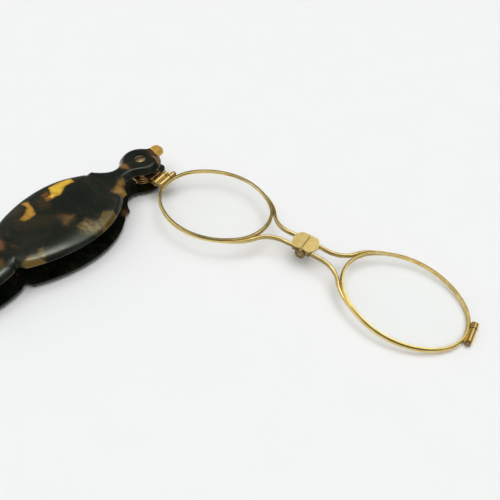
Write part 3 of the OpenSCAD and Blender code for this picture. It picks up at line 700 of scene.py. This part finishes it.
def crowned_plate(name, body):
    """The front plate, with its crowned upper face, flat lower face, holes and pits."""
    edge = plate_edge()
    depth = distance_to(edge)
    bm = bmesh.new()

    def wall(a, b):
        for i in range(len(a)):
            j = (i + 1) % len(a)
            bm.faces.new((a[i], a[j], b[j], b[i]))

    def flat_ring(verts, level):
        return [bm.verts.new((v.co.x, v.co.y, level)) for v in verts]

    through = (*RIBBON_HOLE, HOLE_SIDES)
    out, faces, loops = sheet(edge, face_points(edge, depth), [(*SEAT[:3], SEAT_SIDES), through])
    verts = [bm.verts.new((p.x, p.y, crown_height(p.x, p.y, depth(p.x, p.y)))) for p in out]
    for face in faces:
        bm.faces.new([verts[i] for i in face])
    upper_edge, upper_seat, upper_hole = ([verts[i] for i in loop] for loop in loops)

    seat_hole = (*SEAT[:2], SEAT[3], SEAT_SIDES)
    out, faces, loops = sheet(edge, [], [seat_hole, through] + [(*pit[:3], PIT_SIDES) for pit in PITS])
    verts = [bm.verts.new((p.x, p.y, PLATE_LOW)) for p in out]
    for face in faces:
        bm.faces.new([verts[i] for i in face][::-1])
    lower_edge, lower_seat, lower_hole, *lower_pits = ([verts[i] for i in loop] for loop in loops)

    chamfer = flat_ring(lower_edge, PLATE_LOW + LOW_CHAMFER)
    wall(lower_edge, chamfer)
    wall(chamfer, upper_edge)
    seat_ring = flat_ring(upper_seat, SEAT[4])
    hole_ring = [bm.verts.new((x, y, SEAT[4])) for x, y in circle(*seat_hole)]
    wall(upper_seat, seat_ring)
    wall(seat_ring, hole_ring)
    wall(hole_ring, lower_seat)
    wall(upper_hole, lower_hole)
    for ring, pit in zip(lower_pits, PITS):
        end = flat_ring(ring, PLATE_LOW + pit[3])
        wall(ring, end)
        bm.faces.new(end)

    bmesh.ops.recalc_face_normals(bm, faces=bm.faces)
    for v in bm.verts:
        v.co *= MM
    mesh = bpy.data.meshes.new(name)
    bm.to_mesh(mesh)
    bm.free()
    obj = add_object(name, mesh)
    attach(obj, body)
    return obj


front = crowned_plate("front_shell", "handle")
dress(front, SHELL_FRONT)
smooth(front, 42)
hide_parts("front_plate")


def tube_faces(count, sides):
    """The faces of a capped tube of so many rings."""
    faces = []
    for i in range(count - 1):
        for s in range(sides):
            n = (s + 1) % sides
            faces.append((i * sides + s, i * sides + n, (i + 1) * sides + n, (i + 1) * sides + s))
    faces.append(tuple(range(sides))[::-1])
    faces.append(tuple((count - 1) * sides + s for s in range(sides)))
    return faces


# Spring: a smooth wire on the source's path
SPRING_R, SPRING_WIRE, SPRING_TURNS, SPRING_BEND = 2.9, 0.6, 2.25, 0.35
SPRING_LOW, SPRING_HIGH, SPRING_SIDES, RINGS_PER_TURN = 2.3, 4.2, 16, 32


def spring_path():
    """Turn in degrees and height of the wire's middle: a leg, a bend, the coil, a bend, a leg."""
    top = 360 * SPRING_TURNS
    k = math.degrees(SPRING_BEND / SPRING_R)
    rings = int(RINGS_PER_TURN * SPRING_TURNS)
    path = [(0, SPRING_LOW - SPRING_BEND - z) for z in (SPRING_WIRE, 0)]
    for a in (15, 30, 45, 60, 75, 90):
        c, s = math.cos(math.radians(a)), math.sin(math.radians(a))
        path.append((k * (1 - c), SPRING_LOW - SPRING_BEND * (1 - s)))
    for i in range(1, rings):
        path.append((k + (top - 2 * k) * i / rings, SPRING_LOW + (SPRING_HIGH - SPRING_LOW) * i / rings))
    for a in (0, 15, 30, 45, 60, 75):
        c, s = math.cos(math.radians(a)), math.sin(math.radians(a))
        path.append((top - k * (1 - s), SPRING_HIGH + SPRING_BEND * (1 - c)))
    return path + [(top, SPRING_HIGH + SPRING_BEND + z) for z in (0, SPRING_WIRE - 0.05)]


def spring_wire(name):
    points = [Vector((SPRING_R * math.cos(math.radians(a)), SPRING_R * math.sin(math.radians(a)), z))
        for a, z in spring_path()]
    verts = []
    for i, p in enumerate(points):
        t = (points[min(i + 1, len(points) - 1)] - points[max(i - 1, 0)]).normalized()
        side = t.cross(Vector((p.x, p.y, 0)).normalized()).normalized()
        out = side.cross(t)
        for s in range(SPRING_SIDES):
            a = math.tau * s / SPRING_SIDES
            verts.append((p + SPRING_WIRE / 2 * (math.cos(a) * out + math.sin(a) * side)) * MM)
    return add_mesh(name, verts, tube_faces(len(points), SPRING_SIDES))


spring = spring_wire("spring_wire")
dress(spring, COIL)
smooth(spring, 50)
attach(spring, "handle")
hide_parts("swivel_spring")


# Bridge wires: smooth wires on the source's path, that taper out along the rim. The near side of
# the rim is two arcs, one at the end about (RIM_END_X, 0) and one at the flank about (0, RIM_FLANK_Y).
RIM_END_X, RIM_END_R, RIM_FLANK_Y, RIM_FLANK_R = 5.6, 13.4, 5.88, 21.52
RIM_W, WIRE_W, WIRE_H, WIRE_Y, WIRE_STOP_X = 1.0, 1.1, 1.5, 2.12, 29.9
# Length of the taper, width of its tip, how deep the tip sinks into the rim, and how it grows
TAPER, TIP_W, TIP_SINK, TAPER_GROWTH = 9.0, 0.12, 0.15, 1.2
WIRE_SIDES, WIRE_SQUARENESS, TAPER_STEPS, BEND_STEPS = 24, 0.75, 60, 40
# The bend's circle touches the ring round the rim's end and the straight wire: an 8-15-17 triangle
RING_R = RIM_END_R + (RIM_W + WIRE_W) / 2
BEND_R = (8 * RING_R - 17 * WIRE_Y) / 9
BEND_X = RIM_END_X + 15 / 17 * (RING_R + BEND_R)
BEND_Y = -WIRE_Y - BEND_R
# Middles of the inner lens and, from the hinge, of the outer one; heights of the rims and the hinge
INNER_U, OUTER_FROM_HINGE, RIM_Z, HINGE_Z, DROOP = 30.5, 32.7, 6.0, 5.0, math.radians(5.58)


def inner_place(x, y, z):
    return along(INNER_U + x, y, RIM_Z + z)


def outer_place(x, y, z):
    x, z = OUTER_FROM_HINGE - x, RIM_Z - HINGE_Z + z
    return along(HINGE_U + x * math.cos(DROOP) + z * math.sin(DROOP), y,
        HINGE_Z - x * math.sin(DROOP) + z * math.cos(DROOP))


def bridge_path():
    """Points (x, y, width) of the near wire, from its tip on the rim to the hinge."""
    leave = math.atan2(BEND_Y, BEND_X - RIM_END_X)
    joint = math.atan2(-RIM_FLANK_Y, RIM_END_X)
    end_length = RIM_END_R * (leave - joint)
    tip = joint - (TAPER - end_length) / RIM_FLANK_R
    points = []
    for i in range(TAPER_STEPS + 1):
        at = TAPER * i / TAPER_STEPS
        grown = at / TAPER
        width = TIP_W + (WIRE_W - TIP_W) * grown ** TAPER_GROWTH
        off = RIM_W / 2 + width / 2 - TIP_SINK * (1 - grown)
        if at < TAPER - end_length:
            a, r = tip + at / RIM_FLANK_R, RIM_FLANK_R + off
            points.append((r * math.cos(a), RIM_FLANK_Y + r * math.sin(a), width))
        else:
            a, r = leave - (TAPER - at) / RIM_END_R, RIM_END_R + off
            points.append((RIM_END_X + r * math.cos(a), r * math.sin(a), width))
    for i in range(1, BEND_STEPS + 1):
        a = leave + math.pi + (math.pi / 2 - leave - math.pi) * i / BEND_STEPS
        points.append((BEND_X + BEND_R * math.cos(a), BEND_Y + BEND_R * math.sin(a), WIRE_W))
    return points + [(BEND_X + (WIRE_STOP_X - BEND_X) * t, -WIRE_Y, WIRE_W) for t in (0.5, 1)]


def squared(value):
    return math.copysign(abs(value) ** WIRE_SQUARENESS, value)


def bridge_wire(name, place, side, body, node):
    path = bridge_path()
    verts = []
    for i, (x, y, width) in enumerate(path):
        before, after = path[max(i - 1, 0)], path[min(i + 1, len(path) - 1)]
        tx, ty = after[0] - before[0], after[1] - before[1]
        size = math.hypot(tx, ty)
        tall = WIRE_H * (0.6 + 0.4 * width / WIRE_W)
        for k in range(WIRE_SIDES):
            a = math.tau * k / WIRE_SIDES
            out = squared(math.cos(a)) * width / 2
            up = squared(math.sin(a)) * tall / 2
            verts.append(place(x + ty / size * out, side * (y - tx / size * out), up))
    obj = add_mesh(name, verts, tube_faces(len(path), WIRE_SIDES))
    turned = bmesh.new()
    turned.from_mesh(obj.data)
    bmesh.ops.recalc_face_normals(turned, faces=turned.faces)
    turned.to_mesh(obj.data)
    turned.free()
    dress(obj, GILT)
    smooth(obj, 60)
    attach(obj, body)
    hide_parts(node)


for half, place, body in (("inner", inner_place, "inner_frame"), ("outer", outer_place, "outer_frame")):
    for end, side in (("near", 1), ("far", -1)):
        bridge_wire("bridge_wire_%s_%s" % (half, end), place, side, body, "%s_wire_%s" % (half, end))


# Floor and light
FLOOR_HALF, FLOOR_DROP = 3.0, 0.00002
WORLD_LEVEL = 0.85
# Dimmer sides of the world: direction, the cosines where it begins and where it is full, and share
AWAY = ((-0.478, 0.878, 0), 0.35, 0.85, 0.78)
OVERHEAD = ((0.30, -0.55, 0.78), 0.50, 0.80, 0.82)
ASIDE = ((0.80, 0.56, 0.18), 0.72, 0.93, 0.88)
# The glint's lamp: the place on the handle that it lights, in mm on the handle's own axes, then the
# direction from there to the lamp on the wire frame's, and its distance and width in metres
GLINT_AT, GLINT_DIR, GLINT_FAR, GLINT_SIZE = (48, 10, 10), (-0.21, 0.20, 0.957), 0.65, 0.10


def floor():
    g = Graph("pale_floor")
    colour = g.mix(g.noise(60, 3, 0.5), (0.875, 0.883, 0.880), (0.892, 0.900, 0.897))
    s = FLOOR_HALF
    obj = add_mesh("floor", [(-s, -s, 0), (s, -s, 0), (s, s, 0), (-s, s, 0)], [(0, 1, 2, 3)])
    obj.data.materials.append(g.finish(g.principled(colour, 0.9, specular=0.1)))
    obj.location.z = -FLOOR_DROP


def lamp(name, kind, position, towards):
    obj = add_object(name, bpy.data.lights.new(name, kind))
    obj.location = position
    obj.rotation_mode = "QUATERNION"
    obj.rotation_quaternion = towards.to_track_quat("-Z", "Y")
    return obj


def sun(name, direction, spread, radiance):
    """A far round lamp, with its spread in degrees, that has one radiance all over."""
    obj = lamp(name, "SUN", direction, -direction)
    obj.data.angle = math.radians(spread)
    obj.data.energy = radiance * math.pi * math.sin(math.radians(spread) / 2) ** 2
    return obj


def disc(name, position, target, size, radiance):
    """A near round lamp."""
    obj = lamp(name, "AREA", position, target - position)
    obj.data.shape = "DISK"
    obj.data.size = size
    obj.data.energy = radiance * math.pi * size * size * math.pi / 4
    return obj


def world():
    """Even soft light round the object, with three dimmer sides above the horizon."""
    g = Graph("studio", world=True)
    height = g.z_of(g.object)
    level = g.vector("NORMALIZE", g.vector("MULTIPLY", g.object, (1, 1, 0)))

    def lobe(towards, direction, begin, full, share):
        return g.step(g.dot(towards, frame_dir(*direction).normalized()), begin, full, share)

    lift = g.step(height, 0.06, 0.22)
    away = g.times(lobe(level, *AWAY), g.step(height, 0.95, 0.80))
    strength = WORLD_LEVEL
    for dim in (away, lobe(g.object, *OVERHEAD), lobe(g.object, *ASIDE)):
        strength = g.times(strength, g.minus(1.0, g.times(dim, lift)))
    background = g.add("ShaderNodeBackground", {"Color": (0.995, 1.0, 1.005, 1), "Strength": strength})
    scene.world = g.finish(background.outputs[0])


floor()
world()
scene.view_settings.view_transform = "Standard"
fill = sun("fill", frame_dir(0.128, -0.235, 0.96), spread=72, radiance=1.56)
fill.visible_glossy = False
sun("window", frame_dir(0.05, 0.36, 0.932), spread=42, radiance=1.35)
lit = Vector(GLINT_AT) * MM
glint = disc("glint", lit + frame_dir(*GLINT_DIR) * GLINT_FAR, lit, GLINT_SIZE, radiance=14.0)
glint.visible_diffuse = False
